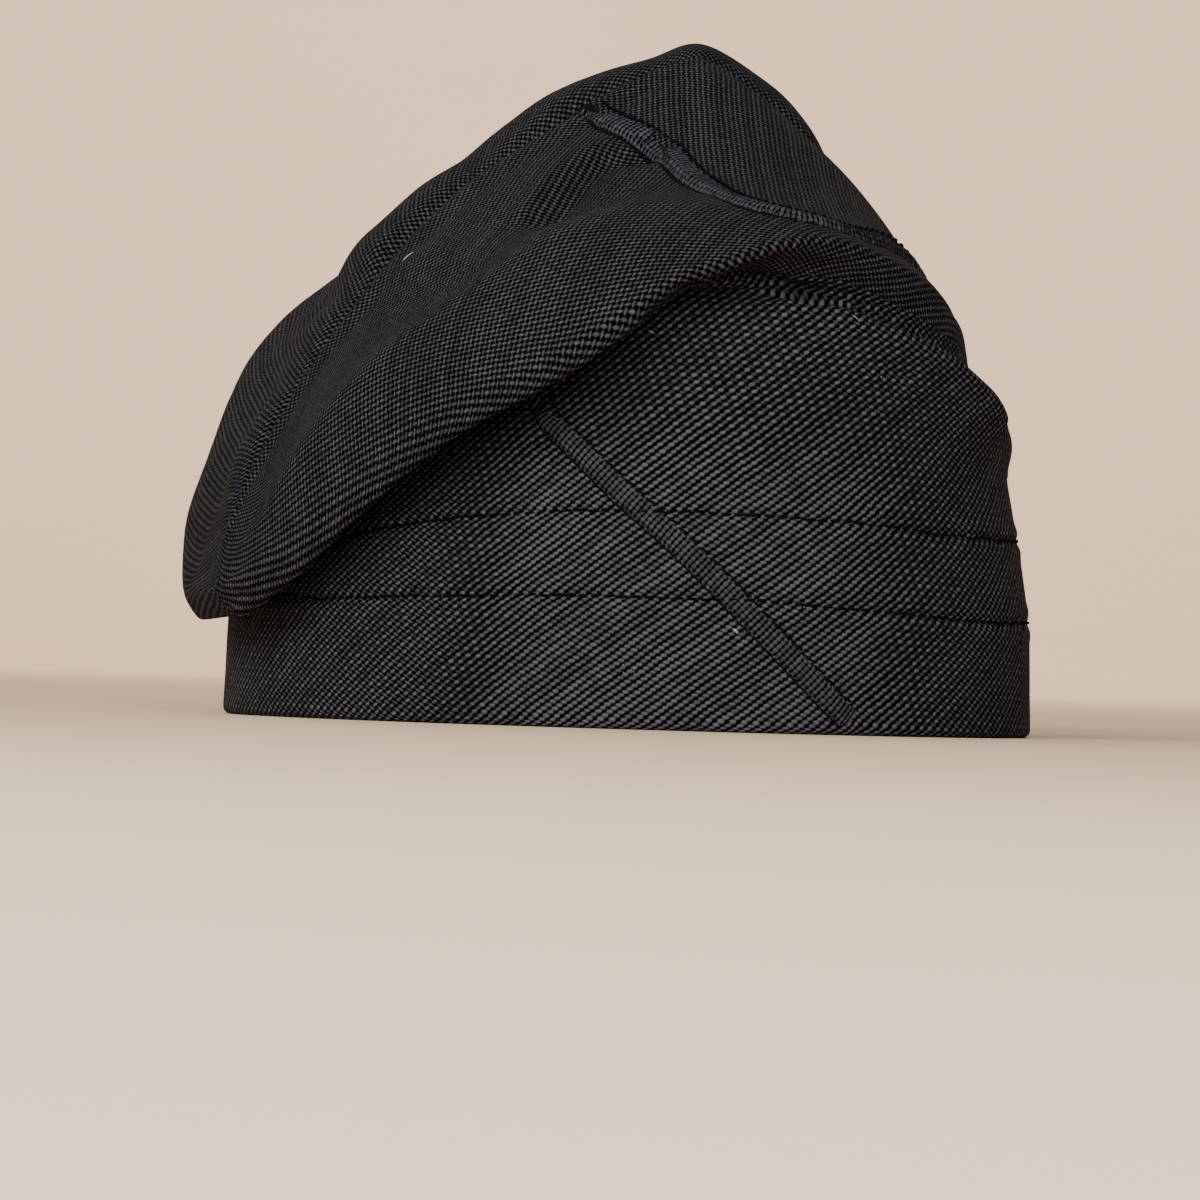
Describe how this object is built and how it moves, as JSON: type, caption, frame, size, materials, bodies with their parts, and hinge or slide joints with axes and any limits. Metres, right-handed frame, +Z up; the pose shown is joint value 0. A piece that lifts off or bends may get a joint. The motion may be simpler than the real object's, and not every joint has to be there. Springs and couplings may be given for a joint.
{
  "type": "folded cloth cap",
  "caption": "Soft dark woven cap: a band with a turned-up hem and a peaked crown closed flat along its top edge, folded so that one corner droops low over the side.",
  "frame": {"origin": "on the surface that the rim rests on, under the middle of the cap's bounding box; the middle of the rim is 7.4 mm towards +X and 4.6 mm towards -Y of it", "axes": "+Z up through the crown, front of the cap towards -Y, wearer's right, where the corner droops, towards -X; metres"},
  "size_m": [0.1798, 0.211, 0.1556],
  "materials": {
    "black_cloth": "open plain weave of thick matt yarn, near black, slightly grey and fuzzy",
    "black_hem": "wrong side of the same near-black cloth, matt"
  },
  "bodies": {
    "root": {"cap_body": "black_cloth", "hem_band": "black_hem"}
  },
  "joints": []
}
